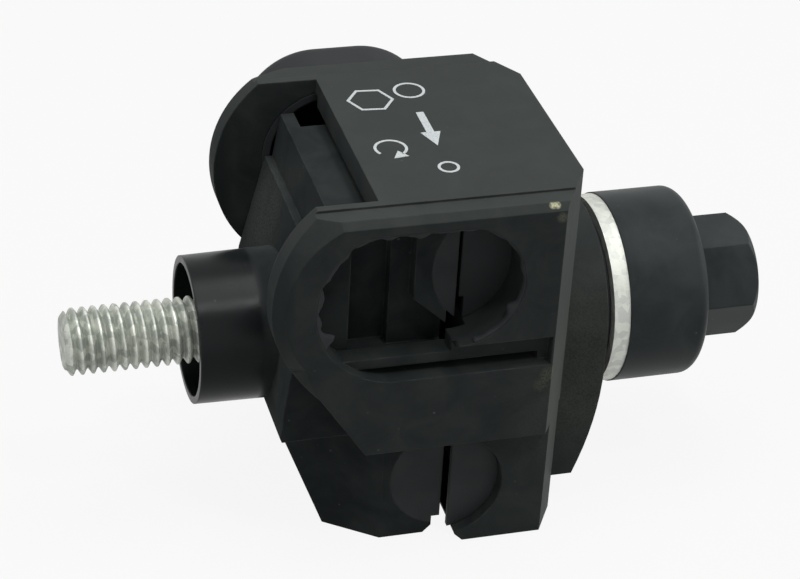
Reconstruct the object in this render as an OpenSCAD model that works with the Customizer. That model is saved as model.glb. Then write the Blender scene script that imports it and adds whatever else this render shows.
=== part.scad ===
// Insulation-piercing branch clamp: two moulded halves drawn together by one insulated bolt.
// The bolt runs along X towards its head at +X, the conductors run along Y, and Z is up.
// The origin is the middle of the head half's foot, on the plane that the clamp stands on.

/* [Bolt] */
// Diameter of the bolt's thread
bolt_d = 8; // [6:0.5:9]
// Length of the bolt under its head
bolt_len = 66; // [60:1:75]
// Width across the flats of the bolt's own head and of the nut
hex_af = 13; // [12:0.5:14]
// Height of the bolt's own head
bolt_head_h = 5.3; // [4:0.1:7]
// Height of the captive nut
nut_h = 6.5; // [5:0.1:7]
// Chamfer on the nut's outer corners
nut_chamfer = 0.7; // [0.3:0.1:1.2]
// Room round the bolt in the two halves, on its radius
bolt_room = 0.5; // [0.3:0.05:0.6]
// Running clearance of the thread in the nut, on its radius
thread_clearance = 0.05; // [0.02:0.01:0.1]
// Chamfer at the bolt's tip
tip_chamfer = 1; // [0.8:0.1:1.5]
// Pitch of the bolt's thread
thread_pitch = 1.25; // [1:0.05:1.5]
// Depth of the bolt's thread
thread_depth = 0.7; // [0.4:0.05:0.8]
// Turns of the thread, from the bolt's tip
thread_turns = 22; // [21:1:26]

/* [Insulated head] */
// Diameter of the round part
cap_d = 23.3; // [20:0.1:26]
// Length of the round part
cap_len = 10.3; // [8:0.1:14]
// Radius of its outer edge
cap_round = 1.4; // [0.5:0.1:2]
// Width across the flats of the drive hexagon
drive_af = 13; // [10:0.5:17]
// Length of the drive hexagon
drive_len = 8.2; // [5:0.1:10]
// Turn of the drive hexagon about the bolt in the pose of the part
drive_turn = 30; // [0:5:55]
// Chamfer at the end of the drive hexagon
drive_chamfer = 1; // [0.4:0.1:1.5]

/* [Washer] */
// Step from the insulated head's round part in to the washer's edge
washer_inset = 0.15; // [0:0.05:1]
// Thickness of the washer
washer_t = 2; // [1:0.1:3]
// Room of the bolt in the washer, on its radius
washer_room = 0.3; // [0.2:0.05:0.6]

/* [Head half] */
// Height of the bolt's axis above the foot
axis_h = 23.3; // [22:0.1:26]
// Height of the hood's top above the bolt's axis
hood_h = 24; // [23:0.1:27]
// Thickness of the hood
hood_t = 3.2; // [2.5:0.1:3.6]
// Reach of the hood past the jaw's face, over the nut half
hood_reach = 11.1; // [9:0.1:13]
// Length of the upper jaw from its face to the outer wall
jaw_len = 13.6; // [12.5:0.1:16]
// Depth of the shell between its two end walls' outer faces
shell_d = 37; // [35:0.5:42]
// Thickness of the end walls
wall_t = 4; // [3:0.1:4.5]
// Length along X of the chamfer on the outer corners
corner_x = 4; // [3:0.1:6]
// Depth along Y of the chamfer on the outer corners
corner_y = 6.7; // [5.5:0.1:8]
// Drop of the end walls' lower edge below the bolt's axis
skirt_drop = 7.5; // [6:0.1:8]
// Radius of the end collars
collar_r = 15; // [14:0.1:16]
// Distance of the collars' centre from the jaw's face
collar_x = 8.4; // [7:0.1:10]
// Height of the collars' centre above the bolt's axis
collar_h = 12.6; // [12:0.1:13.5]
// Reach of the end walls' lower edge past the jaw's face
skirt_reach = 12.2; // [11:0.1:13]
// Radius of the collars' outer faces, inside their bevels
face_r = 11.6; // [10.5:0.1:12.4]
// Distance of those faces' centre from the jaw's face
face_x = 10.6; // [10:0.1:11.5]
// Bevel along the hood's front edge
edge_bevel = 0.8; // [0.4:0.1:1.2]
// Height of the top panel above the bands beside it
panel_step = 0.3; // [0.2:0.1:0.6]
// Depth of the top panel along Y
panel_d = 31; // [29:0.5:33]
// Length of the foot along the bolt
foot_len = 13.3; // [12:0.1:15]
// Depth of the foot along Y
foot_d = 33.2; // [30:0.1:35]
// Chamfer on both feet's lower edges beside the gap
foot_chamfer = 1; // [0.5:0.1:1.2]

/* [Washer boss] */
// How far the boss stands out from the outer wall
boss_out = 5.3; // [3:0.1:7]
// Width of the boss
boss_w = 23.6; // [22:0.1:25]
// Drop of the boss's lower end below the bolt's axis
boss_drop = 19; // [17:0.1:21]
// Drop below the bolt's axis where the boss begins to draw in
boss_upright = 4; // [2:0.1:8]
// How far the boss draws in towards its lower end
boss_draw = 2.8; // [1:0.1:4]
// Thickness of the sealing ring under the washer
ring_t = 0.9; // [0.5:0.1:1.5]
// Outer diameter of the sealing ring
ring_d = 20.4; // [16:0.1:22]

/* [Conductor grooves] */
// Height of the main conductor above the bolt's axis
main_h = 14; // [13.5:0.1:14.2]
// Radius of the main groove in the head half
main_r = 7.8; // [7.4:0.1:7.9]
// Depth of the main groove in the head half
main_depth = 5.5; // [4.5:0.1:5.8]
// Radius of the main groove in the nut half
cradle_r = 8.5; // [8:0.1:9]
// Depth of the main groove in the nut half
cradle_depth = 2; // [1.5:0.1:2.1]
// Drop of the branch conductor below the bolt's axis
branch_drop = 15; // [14.5:0.1:15.5]
// Radius of the branch groove
branch_r = 7.1; // [6.6:0.1:7.2]
// Depth of the branch groove in each half
branch_depth = 5.4; // [5:0.1:5.6]
// Gap between the jaws' faces in the pose of the part
jaw_gap = 2.3; // [1:0.1:3]

/* [End openings] */
// Radius of the front opening's left side, about the collars' centre
mouth_r = 10.3; // [9.6:0.1:10.6]
// Thickness of the knock-outs' walls
membrane_t = 1; // [0.6:0.1:1.2]
// Least width of the rest of the front knock-out
rest_w = 0.3; // [0.2:0.1:0.6]
// Further width of that rest at its left end
rest_left = 0.3; // [0:0.1:0.8]
// Raggedness of the torn edge
torn_jag = 0.7; // [0.2:0.05:0.9]
// Height of that rest's lower left end above the bolt's axis
rest_low = 7.7; // [7:0.1:9]
// Height of the slit below the front opening, at its lower edge
slit_h = 2.4; // [2:0.1:3]
// Width of that slit
slit_w = 1.1; // [0.8:0.1:1.3]
// Length of that slit from the jaw's face into the head half
slit_len = 8.2; // [6:0.1:9]
// Height of the bar between the slit and the opening
bar_h = 1.3; // [1:0.1:1.6]
// How far that bar and the wall round it are set back
bar_in = 1.5; // [1:0.1:2]
// Length of that set-back place from the jaw's face into the head half
bar_len = 9.4; // [9:0.1:10]
// How far the whole rear knock-out stands out of its end wall
plug_out = 7.2; // [4.5:0.1:9]
// Radius of the rear knock-out's round ends
plug_r = 9.4; // [8.6:0.1:9.5]
// Rounding of the rear knock-out's outer edge
plug_round = 3; // [1.5:0.1:4]
// Reach of the rear knock-out past the jaw's face
plug_reach = 18.5; // [17:0.1:20]

/* [Nut half] */
// Side clearance of the nut half between the end walls
side_clearance = 0.3; // [0.2:0.05:0.6]
// Clearance of the upper jaw under the hood
hood_clearance = 0.9; // [0.4:0.1:1.2]
// Length of the upper jaw back to the edge of its rib
rib_len = 13.1; // [12:0.1:14]
// Height of the step behind the rib above the bolt's axis
step_h = 14.3; // [13:0.1:15.5]
// Distance of the shoulder's top edge from the jaw's face
shoulder_top = 14.9; // [14.6:0.1:16]
// Distance of the shoulder's foot from the jaw's face
shoulder_foot = 17.9; // [17:0.1:19]
// Height of the shoulder's foot above the bolt's axis
shoulder_low = 2; // [1:0.1:4]
// Length of the body at its widest
body_len = 19; // [18:0.1:20]
// Drop of the widest place below the bolt's axis
body_drop = 6.9; // [5:0.1:9]
// Length of the nut half's foot
nut_foot_len = 12.4; // [11:0.1:14]
// Length along X of the foot's chamfered corners
nut_corner_x = 6; // [3:0.1:7]
// Depth along Y of the foot's chamfered corners
nut_corner_y = 4.4; // [2:0.1:6]
// Distance of the sleeve's mouth from the jaw's face
sleeve_reach = 27.2; // [26.5:0.1:29]
// Diameter of the sleeve at its mouth
sleeve_d = 17.6; // [17:0.1:19]
// Growth of the sleeve's diameter down to its root
sleeve_draft = 0.4; // [0:0.1:1]
// Diameter of the sleeve's bore at the mouth
sleeve_bore = 15.9; // [15.4:0.1:16.2]
// Distance of the nut's seat from the jaw's face
nut_seat = 17; // [16:0.1:18]
// Clearance of the nut in its hexagon pocket, on the flats
nut_clearance = 0.1; // [0:0.05:0.2]
// Depth of the recess in each end of the upper jaw
recess_d = 3.5; // [2.5:0.1:4]
// Depth of its shallow part beside the jaw's face
recess_step = 1.9; // [1:0.1:2.4]
// Length of that part from the jaw's face
recess_len = 6.4; // [5:0.1:8]
// Wall left between the recess and the rib's edge
recess_wall = 1.6; // [1:0.1:2.5]
// Height of the recess's floor above the bolt's axis
recess_floor = 3.5; // [3:0.1:4.4]
// Distance of the lip's upright edge from the jaw's face
lip_len = 4; // [3.8:0.1:4.8]
// Height of the lip's lower edge at that place
lip_h = 10.5; // [10:0.1:11]
// Height of the lip's lower edge at the jaw's face
lip_low = 6.8; // [5:0.1:7]

/* [Contacts and seals] */
// Thickness of the contact blades
blade_t = 1.6; // [1:0.1:2]
// Distance of the blades' middle from the bolt's axis along Y
blade_y = 6.5; // [6.2:0.1:7.5]
// How far the blades sit behind the jaws' faces
blade_set = 1.5; // [1:0.1:2]
// Depth of the blades behind the jaws' faces
blade_depth = 9; // [8.8:0.1:10]
// Height of the blades' upper end above the main groove's axis
blade_up = 4.6; // [4.5:0.1:5]
// Drop of the blades' lower end below the branch groove's axis
blade_down = 4.2; // [3.8:0.1:4.6]
// How far the teeth stand out of the seals
tooth_out = 0.9; // [0.5:0.1:1.3]
// Half width of a tooth at its root
tooth_half = 0.8; // [0.5:0.1:1]
// How far the blades' edges lie under the seals' surface
blade_under = 0.4; // [0.2:0.1:0.8]
// Thickness of the seals
seal_t = 1.3; // [1:0.1:1.5]
// Thickness of the seals' end plates
plate_t = 0.7; // [0.5:0.1:0.8]
// Gap along Y between the end plates of the two halves, which slide past each other
plate_gap = 0.3; // [0.2:0.05:0.4]
// How far the head half's plates stand out past its jaw's face
head_plate_out = 0.6; // [0:0.1:0.8]
// How far the nut half's plates stand out past its jaw's face
nut_plate_out = 1; // [0:0.1:1.2]
// Half height of the main plate's part that stands out of the head half
main_plate_half = 4.5; // [3:0.1:4.6]
// Half height of the branch plate's part that stands out of the nut half
branch_plate_half = 6; // [4:0.1:6.1]

/* [Hidden] */
$fn = 96;

// Room that a cutting solid has past the faces it opens
past = 1;
// Length greater than that of the part, for cutters that are open on one side
all = 90;
// Ratio of a hexagon's circle through its corners to its width across flats
hex_ratio = 1 / cos(30);
// Where the jaw's face of the head half lies
jaw_x = -foot_len / 2;
// Where the washer's seat and the bolt's head begin, from the jaw's face
seat_x = jaw_len + boss_out + ring_t;
head_x = seat_x + washer_t;
// Outer diameter of the washer
washer_d = cap_d - 2 * washer_inset;
// Faces along Y of the shell's end walls and of the nut half
wall_y = shell_d / 2;
inner_y = wall_y - wall_t;
nut_y = inner_y - side_clearance;
hood_under = hood_h - hood_t;
// Centres along X of the grooves: the first two from the head's face, the last from the nut's face
main_x = main_depth - main_r;
branch_x = branch_depth - branch_r;
cradle_x = cradle_r - cradle_depth;
// Height of the front opening's lower edge, on top of the bar
mouth_low = slit_h + slit_w + bar_h;
// Places along Y of the outer faces of the seals' end plates
nut_plate_y = nut_y;
head_main_y = nut_y - plate_t - plate_gap;
head_branch_y = nut_y + plate_t + plate_gap;
// Angle on the collar where the skirt's slanted edge leaves it
skirt_angle = 231;
// Angle about the collars' faces where their bevels begin to run out
bevel_angle = 219;
// Radius of the bevels' last stretch, which is nearly straight
runout_r = 20;
// Points on the torn edge, and the angle that scatters them
torn_points = 40;
torn_scatter = 67;
// Straight pieces in the curve that draws the boss in
boss_pieces = 8;
// Half angles that the seals and the rows of teeth span
head_seal_angle = 48;
cradle_seal_angle = 31;
branch_seal_angle = 50;
main_teeth = [-26, -13, 0, 13, 26];
cradle_teeth = [-24, -12, 0, 12, 24];
branch_teeth = [-24, -8, 8, 24];
moulded = [0.11, 0.11, 0.115];
soft = [0.09, 0.09, 0.095];
rubber = [0.06, 0.06, 0.065];
zinc = [0.74, 0.75, 0.76];
tinned = [0.78, 0.76, 0.72];

// Puts children that are drawn round the bolt's axis, from the head's jaw face, in the part's frame.
module on_bolt() {
    translate([jaw_x, 0, axis_h]) children();
}

// The same for children that are drawn from the nut half's jaw face.
module on_nut_half() {
    on_bolt() translate([-jaw_gap, 0, 0]) children();
}

// Carries an outline drawn in X and Z along Y between two faces.
module along_y(from, to) {
    translate([0, to, 0]) rotate([90, 0, 0]) linear_extrude(to - from) children();
}

// A round bar along X between two places.
module along_x(from, to, d) {
    translate([from, 0, 0]) rotate([0, 90, 0]) cylinder(d = d, h = to - from);
}

// A hexagon bar along X with corners at top and bottom.
module hex_x(from, to, af) {
    translate([from, 0, 0]) rotate([0, 90, 0]) cylinder(d = af * hex_ratio, h = to - from, $fn = 6);
}

// A hexagon bar along Z whose outer corners are chamfered at the far end.
module chamfered_hex(af, h, chamfer) {
    r = af * hex_ratio / 2;
    intersection() {
        cylinder(r = r, h = h, $fn = 6);
        rotate_extrude() polygon([
            [0, 0], [r + past, 0], [r + past, h - chamfer - past], [r - chamfer, h], [0, h]
        ]);
    }
}

// A box by its two corners.
module block(low, high) {
    translate(low) cube(high - low);
}

// Outline of an end wall: the round collar, the straight wall and the skirt's slanted lower edge.
module wall_outline() {
    collar = [-collar_x, collar_h];
    leave = collar + collar_r * [cos(skirt_angle), sin(skirt_angle)];
    intersection() {
        union() {
            translate(collar) circle(collar_r);
            polygon([
                [-collar_x, hood_h], [jaw_len, hood_h], [jaw_len, -skirt_drop], [-skirt_reach, -skirt_drop],
                leave, collar
            ]);
        }
        translate([-all, hood_h - 2 * all]) square(2 * all);
    }
}

// Plan of the shell with its two chamfered outer corners.
module shell_plan() {
    left = -collar_x - collar_r - past;
    polygon([
        [left, -wall_y], [jaw_len - corner_x, -wall_y], [jaw_len, corner_y - wall_y],
        [jaw_len, wall_y - corner_y], [jaw_len - corner_x, wall_y], [left, wall_y]
    ]);
}

// Cutter for a bevel of the front face, outside a circle and between two angles.
module round_bevel(centre, r, from, to) {
    ring = collar_r - face_r + past;
    rotate([90, 0, 0]) translate([centre[0], centre[1], 0]) rotate([0, 0, from])
        rotate_extrude(angle = to - from)
            polygon([[r - past, wall_y + past], [r + ring, wall_y + past], [r + ring, wall_y - ring]]);
}

// Bevels that run round the collars, out along the skirt, and along the hood's front edge.
module edge_bevels() {
    edge = edge_bevel * sqrt(2);
    face = [-face_x, collar_h];
    start = face + face_r * [cos(bevel_angle), sin(bevel_angle)];
    stop = [-collar_x, collar_h] + collar_r * [cos(skirt_angle), sin(skirt_angle)];
    way = stop - start;
    turn = atan2(-way[0], way[1]);
    half = asin(norm(way) / 2 / runout_r);
    centre = (start + stop) / 2 + runout_r * cos(half) * [cos(turn + 180), sin(turn + 180)];
    for (side = [0, 1])
        mirror([0, side, 0]) {
            round_bevel(face, face_r, 90, bevel_angle);
            round_bevel(centre, runout_r, turn - half, turn + half);
        }
    translate([-all, -wall_y, hood_h - panel_step]) rotate([45, 0, 0])
        translate([0, -edge / 2, -edge / 2]) cube([2 * all, edge, edge]);
}

// The bands beside the top panel are cut a little lower than it.
module panel_bands() {
    for (side = [-1, 1])
        block([-all, side * (panel_d + shell_d) / 2 - shell_d / 2, hood_h - panel_step],
              [all, side * (panel_d + shell_d) / 2 + shell_d / 2, hood_h + past]);
}

// Half outline of a round body with a rounded outer edge, from its axis.
module rounded_half(r, h, edge) {
    square([r - edge, h]);
    square([r, h - edge]);
    translate([r - edge, h - edge]) circle(edge);
}

// Body of the rear knock-out from a given face, or a smaller one that lies inside it.
module rear_plug(from, inset) {
    r = plug_r - inset;
    edge = plug_round - inset;
    h = wall_y + plug_out - inset - from;
    left = plug_r - plug_reach;
    right = main_x + main_r - plug_r;
    translate([0, from, main_h]) {
        for (x = [left, right])
            translate([x, 0, 0]) rotate([-90, 0, 0]) rotate_extrude() rounded_half(r, h, edge);
        translate([left, 0, 0]) rotate([90, 0, 90]) linear_extrude(right - left)
            for (side = [0, 1]) mirror([0, side]) rotate(90) mirror([0, 1]) rounded_half(r, h, edge);
    }
}

// Boss under the washer: round on top and drawn in towards its lower end.
module washer_boss() {
    face = jaw_len + boss_out;
    run = boss_drop - boss_upright;
    root = jaw_len / 2;
    curve = [for (i = [0:boss_pieces]) let (t = i / boss_pieces)
        [face - boss_draw * t * t, -boss_upright - run * t]];
    intersection() {
        along_y(-boss_w / 2, boss_w / 2)
            polygon(concat([[root, boss_w / 2], [face, boss_w / 2]], curve, [[root, -boss_drop]]));
        union() {
            along_x(0, face + past, boss_w);
            block([0, -boss_w / 2, -boss_drop - past], [face + past, boss_w / 2, 0]);
        }
    }
}

// Foot of the head half, whose outer corners follow the shell's chamfers.
module head_foot() {
    translate([0, 0, -axis_h]) linear_extrude(axis_h) intersection() {
        translate([0, -foot_d / 2]) square([foot_len, foot_d]);
        shell_plan();
    }
}

// Cutter for the chamfer on a foot's lower edge beside the gap.
module gap_chamfer() {
    along_y(-foot_d, foot_d) translate([0, -axis_h])
        polygon([[-past, -past], [foot_chamfer + past, -past], [-past, foot_chamfer + past]]);
}

// A part of the front opening between two heights, from its round left side to a place at its right.
module opening_part(low, high, right) {
    intersection() {
        translate([-all, low]) square([all + right, high - low]);
        union() {
            translate([-collar_x, collar_h]) circle(mouth_r);
            translate([-collar_x, -all]) square(2 * all);
        }
    }
}

// Opening in the front end wall, as an outline.
module mouth_outline() {
    opening_part(mouth_low, main_h + main_r, main_x);
    translate([main_x, main_h]) circle(main_r);
}

// Place of the front knock-out, which is lost along the opening's lower edge.
module membrane_outline() {
    opening_part(rest_low, main_h + main_r, main_x);
    intersection() {
        translate([main_x, main_h]) circle(main_r);
        translate([main_x, main_h - main_r + rest_w]) square(2 * main_r);
    }
}

// Outline of the hole torn in the front knock-out, which leaves the widest rest on its left.
module torn_outline() {
    polygon([for (i = [0:torn_points - 1])
        let (a = 360 * i / torn_points,
             left = max(0, -cos(a)),
             rest = rest_w + rest_left * left + torn_jag * (1 + sin(torn_scatter * i)) / 2,
             p = cos(a) < 0
                 ? [-collar_x, collar_h] + (mouth_r - rest) * [cos(a), sin(a)]
                 : [main_x, main_h] + (main_r - rest) * [cos(a), sin(a)])
        [p[0], min(p[1], main_h + main_r - rest)]]);
}

// A part of a ring between two radii, spread about a direction.
module ring_part(r, t, direction, spread) {
    intersection() {
        difference() {
            circle(r + t);
            circle(r);
        }
        rotate(direction)
            polygon([[0, 0], all * [cos(spread), -sin(spread)], all * [cos(spread), sin(spread)]]);
    }
}

// The three kinds of seal, as outlines.
module head_main_seal_outline() {
    translate([main_x, main_h]) ring_part(main_r, seal_t, 0, head_seal_angle);
}

module cradle_seal_outline() {
    translate([cradle_x, main_h]) ring_part(cradle_r, seal_t, 180, cradle_seal_angle);
}

module branch_seal_outline() {
    translate([branch_x, -branch_drop]) ring_part(branch_r, seal_t, 0, branch_seal_angle);
}

// End plate of a seal, as an outline: a groove's round, and a part that stands out past the jaw's face.
module plate_outline(groove, r, out, half) {
    intersection() {
        translate(groove) circle(r);
        union() {
            translate([0, -all]) square(2 * all);
            translate([-out, groove[1] - half]) square([out + past, 2 * half]);
        }
    }
}

// A pair of end plates, whose outer faces lie at the same distance from the middle.
module plate_pair(y) {
    for (side = [0, 1]) mirror([0, side, 0]) along_y(-y, plate_t - y) children();
}

// A seal's curved wall between its two end plates.
module between_plates(y) {
    along_y(plate_t / 2 - y, y - plate_t / 2) children();
}

// A row of pointed teeth round a groove's axis.
module teeth(r, direction, angles) {
    root = r + blade_under + tooth_half / 2;
    for (a = angles)
        rotate(direction + a) polygon([[r - tooth_out, 0], [root, -tooth_half], [root, tooth_half]]);
}

// Outline of a contact blade of the head half; that of the nut half is turned over below.
module blade_outline(groove_x, groove_r, direction, groove_teeth) {
    difference() {
        translate([blade_set, -branch_drop - blade_down])
            square([blade_depth - blade_set, branch_drop + blade_down + main_h + blade_up]);
        translate([groove_x, main_h]) circle(groove_r + blade_under);
        translate([branch_x, -branch_drop]) circle(branch_r + blade_under);
    }
    translate([groove_x, main_h]) teeth(groove_r, direction, groove_teeth);
    translate([branch_x, -branch_drop]) teeth(branch_r, 0, branch_teeth);
}

module head_blade(side) {
    y = side * blade_y;
    along_y(y - blade_t / 2, y + blade_t / 2) blade_outline(main_x, main_r, 0, main_teeth);
}

module nut_blade(side) {
    y = side * blade_y;
    mirror([1, 0, 0]) along_y(y - blade_t / 2, y + blade_t / 2)
        blade_outline(-cradle_x, cradle_r, 0, cradle_teeth);
}

// Slots that the blades stand in, open at the jaw's face.
module blade_slots() {
    for (side = [-1, 1])
        block([-past, side * blade_y - blade_t / 2, -branch_drop - blade_down],
              [blade_depth, side * blade_y + blade_t / 2, main_h + blade_up]);
}

module head_shell() {
    room_d = bolt_d + 2 * bolt_room;
    color(moulded) on_bolt() difference() {
        union() {
            difference() {
                intersection() {
                    along_y(-wall_y, wall_y) wall_outline();
                    translate([0, 0, -axis_h]) linear_extrude(axis_h + hood_h) shell_plan();
                }
                block([-all, -inner_y, -axis_h], [0, inner_y, hood_under]);
                block([-all, -inner_y, -axis_h], [-hood_reach, inner_y, hood_h + past]);
                panel_bands();
                edge_bevels();
            }
            washer_boss();
            head_foot();
        }
        along_x(-past, seat_x + past, room_d);
        along_y(-wall_y - past, inner_y) translate([main_x, main_h]) circle(main_r);
        rear_plug(inner_y - past, membrane_t);
        along_y(-wall_y - past, past - inner_y) mouth_outline();
        along_y(-wall_y - past, -inner_y) opening_part(slit_h, slit_h + slit_w, slit_len);
        along_y(-wall_y - past, bar_in - wall_y) opening_part(slit_h, main_h - main_r, bar_len);
        along_y(-foot_d, foot_d) translate([branch_x, -branch_drop]) circle(branch_r);
        between_plates(head_main_y) head_main_seal_outline();
        between_plates(head_branch_y) branch_seal_outline();
        blade_slots();
        gap_chamfer();
    }
}

// Rest of the front knock-out, whose middle is torn out.
module front_knockout() {
    color(soft) on_bolt() along_y(-wall_y, membrane_t - wall_y) difference() {
        membrane_outline();
        torn_outline();
    }
}

// Whole rear knock-out: a hollow dome on the end wall, with a spigot through it.
module rear_knockout() {
    color(soft) on_bolt() difference() {
        union() {
            rear_plug(wall_y, 0);
            rear_plug(inner_y, membrane_t);
        }
        rear_plug(inner_y - past, 2 * membrane_t);
    }
}

module sealing_ring() {
    color(rubber) on_bolt() difference() {
        along_x(seat_x - ring_t, seat_x, ring_d);
        along_x(seat_x - ring_t - past, seat_x + past, bolt_d + 2 * bolt_room);
    }
}

module nut_shell() {
    room_d = bolt_d + 2 * bolt_room;
    rib_h = hood_under - hood_clearance;
    color(moulded) on_nut_half() difference() {
        union() {
            along_y(-nut_y, nut_y) polygon([
                [0, -axis_h], [0, rib_h], [-rib_len, rib_h], [-(rib_len + shoulder_top) / 2, step_h],
                [-shoulder_top, step_h], [-shoulder_foot, shoulder_low],
                [-body_len, -body_drop], [-nut_foot_len, -axis_h]
            ]);
            translate([-sleeve_reach, 0, 0]) rotate([0, 90, 0])
                cylinder(d1 = sleeve_d, d2 = sleeve_d + sleeve_draft, h = sleeve_reach - shoulder_top);
        }
        along_x(-sleeve_reach - past, past, room_d);
        along_x(-sleeve_reach - past, -nut_seat - nut_h, sleeve_bore);
        hex_x(-sleeve_reach - past, -nut_seat, hex_af + nut_clearance);
        along_y(-nut_y - past, nut_y + past) translate([cradle_x, main_h]) circle(cradle_r);
        mirror([1, 0, 0]) {
            along_y(-nut_y - past, nut_y + past) translate([branch_x, -branch_drop]) circle(branch_r);
            between_plates(nut_plate_y) branch_seal_outline();
            blade_slots();
            gap_chamfer();
        }
        between_plates(nut_plate_y) cradle_seal_outline();
        for (side = [-1, 1]) {
            jaw_end_recess(side);
            foot_corner(side);
        }
    }
}

// Recess in one end of the upper jaw: shallow under the slanted lip and deep behind it.
module jaw_end_recess(side) {
    mirror([0, side < 0 ? 0 : 1, 0]) {
        along_y(-nut_y - past, recess_step - nut_y) polygon([
            [-recess_len, hood_under], [-lip_len, hood_under], [-lip_len, lip_h], [0, lip_low],
            [past, lip_low], [past, recess_floor], [-recess_len, recess_floor]
        ]);
        block([recess_wall - rib_len, -nut_y - past, recess_floor],
              [-recess_len, recess_d - nut_y, hood_under]);
    }
}

// Chamfer on an outer corner of the nut half's foot.
module foot_corner(side) {
    start = nut_corner_x - nut_foot_len;
    slope = nut_corner_y / nut_corner_x;
    translate([0, 0, -axis_h - past]) linear_extrude(axis_h - skirt_drop + past)
        polygon([
            [start, side * (nut_y + past)], [start, side * nut_y],
            [-body_len - past, side * (nut_y - slope * (body_len + past + start))],
            [-body_len - past, side * (nut_y + past)]
        ]);
}

module head_main_seal() {
    color(rubber) on_bolt() {
        difference() {
            between_plates(head_main_y) head_main_seal_outline();
            blade_slots();
        }
        plate_pair(head_main_y)
            plate_outline([main_x, main_h], main_r, head_plate_out, main_plate_half);
    }
}

module head_branch_seal() {
    color(rubber) on_bolt() {
        difference() {
            between_plates(head_branch_y) branch_seal_outline();
            blade_slots();
        }
        plate_pair(head_branch_y)
            plate_outline([branch_x, -branch_drop], branch_r, head_plate_out, branch_r);
    }
}

module nut_main_seal() {
    color(rubber) on_nut_half() {
        difference() {
            between_plates(nut_plate_y) cradle_seal_outline();
            mirror([1, 0, 0]) blade_slots();
        }
        mirror([1, 0, 0]) plate_pair(nut_plate_y)
            plate_outline([-cradle_x, main_h], cradle_r, nut_plate_out, cradle_r);
    }
}

module nut_branch_seal() {
    color(rubber) on_nut_half() mirror([1, 0, 0]) {
        difference() {
            between_plates(nut_plate_y) branch_seal_outline();
            blade_slots();
        }
        plate_pair(nut_plate_y)
            plate_outline([branch_x, -branch_drop], branch_r, nut_plate_out, branch_plate_half);
    }
}

module head_blade_front() {
    color(tinned) on_bolt() head_blade(-1);
}

module head_blade_rear() {
    color(tinned) on_bolt() head_blade(1);
}

module nut_blade_front() {
    color(tinned) on_nut_half() nut_blade(-1);
}

module nut_blade_rear() {
    color(tinned) on_nut_half() nut_blade(1);
}

module captive_nut() {
    color(zinc) on_nut_half() difference() {
        translate([-nut_seat, 0, 0]) rotate([0, -90, 0]) chamfered_hex(hex_af, nut_h, nut_chamfer);
        along_x(-nut_seat - nut_h - past, past - nut_seat, bolt_d + 2 * thread_clearance);
    }
}

// Half outline of the bolt's shank from its tip: thread grooves and ridges by turns, then the plain part.
module shank_half() {
    r = bolt_d / 2;
    ridges = [for (i = [1:2 * thread_turns - 1]) let (z = i * thread_pitch / 2)
        [i % 2 == 1 ? min(r, r - tip_chamfer + z) : r - thread_depth, z]];
    plain = [[r, thread_turns * thread_pitch], [r, bolt_len], [0, bolt_len]];
    polygon(concat([[0, 0], [r - tip_chamfer, 0]], ridges, plain));
}

module clamping_bolt() {
    color(zinc) on_bolt() {
        translate([head_x - bolt_len, 0, 0]) rotate([0, 90, 0]) rotate_extrude() shank_half();
        hex_x(head_x, head_x + bolt_head_h, hex_af);
    }
}

module insulated_head() {
    color(moulded) on_bolt() difference() {
        translate([head_x, 0, 0]) rotate([0, 90, 0]) {
            rotate_extrude() rounded_half(cap_d / 2, cap_len, cap_round);
            rotate(drive_turn) chamfered_hex(drive_af, cap_len + drive_len, drive_chamfer);
        }
        hex_x(head_x - past, head_x + bolt_head_h, hex_af);
    }
}

module flat_washer() {
    color(zinc) on_bolt() difference() {
        along_x(seat_x, head_x, washer_d);
        along_x(seat_x - past, head_x + past, bolt_d + 2 * washer_room);
    }
}

head_shell();
front_knockout();
rear_knockout();
sealing_ring();
head_main_seal();
head_branch_seal();
head_blade_front();
head_blade_rear();
nut_shell();
nut_main_seal();
nut_branch_seal();
nut_blade_front();
nut_blade_rear();
captive_nut();
clamping_bolt();
insulated_head();
flat_washer();
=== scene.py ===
"""Finishes, thread, torn knock-out and printed marks of a moulded branch clamp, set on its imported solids."""

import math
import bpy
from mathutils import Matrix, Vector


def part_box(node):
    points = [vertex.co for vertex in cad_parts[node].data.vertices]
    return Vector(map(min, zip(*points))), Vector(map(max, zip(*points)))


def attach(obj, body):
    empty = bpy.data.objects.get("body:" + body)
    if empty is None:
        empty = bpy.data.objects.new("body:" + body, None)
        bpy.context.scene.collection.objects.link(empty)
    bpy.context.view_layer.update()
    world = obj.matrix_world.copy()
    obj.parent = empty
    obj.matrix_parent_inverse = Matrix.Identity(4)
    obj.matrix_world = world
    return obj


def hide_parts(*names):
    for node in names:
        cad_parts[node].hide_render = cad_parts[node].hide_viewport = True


bl_info = {
    "name": "Branch clamp",
    "version": (1, 0, 0),
    "blender": (4, 5, 0),
    "location": "View3D > Sidebar > Branch clamp",
    "description": "Dresses the packed branch clamp and sets its stage",
    "category": "Object",
}

import bmesh
import bpy
import numpy as np
from bpy.props import FloatProperty, FloatVectorProperty, IntProperty, PointerProperty
from mathutils import Matrix, Vector

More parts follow.
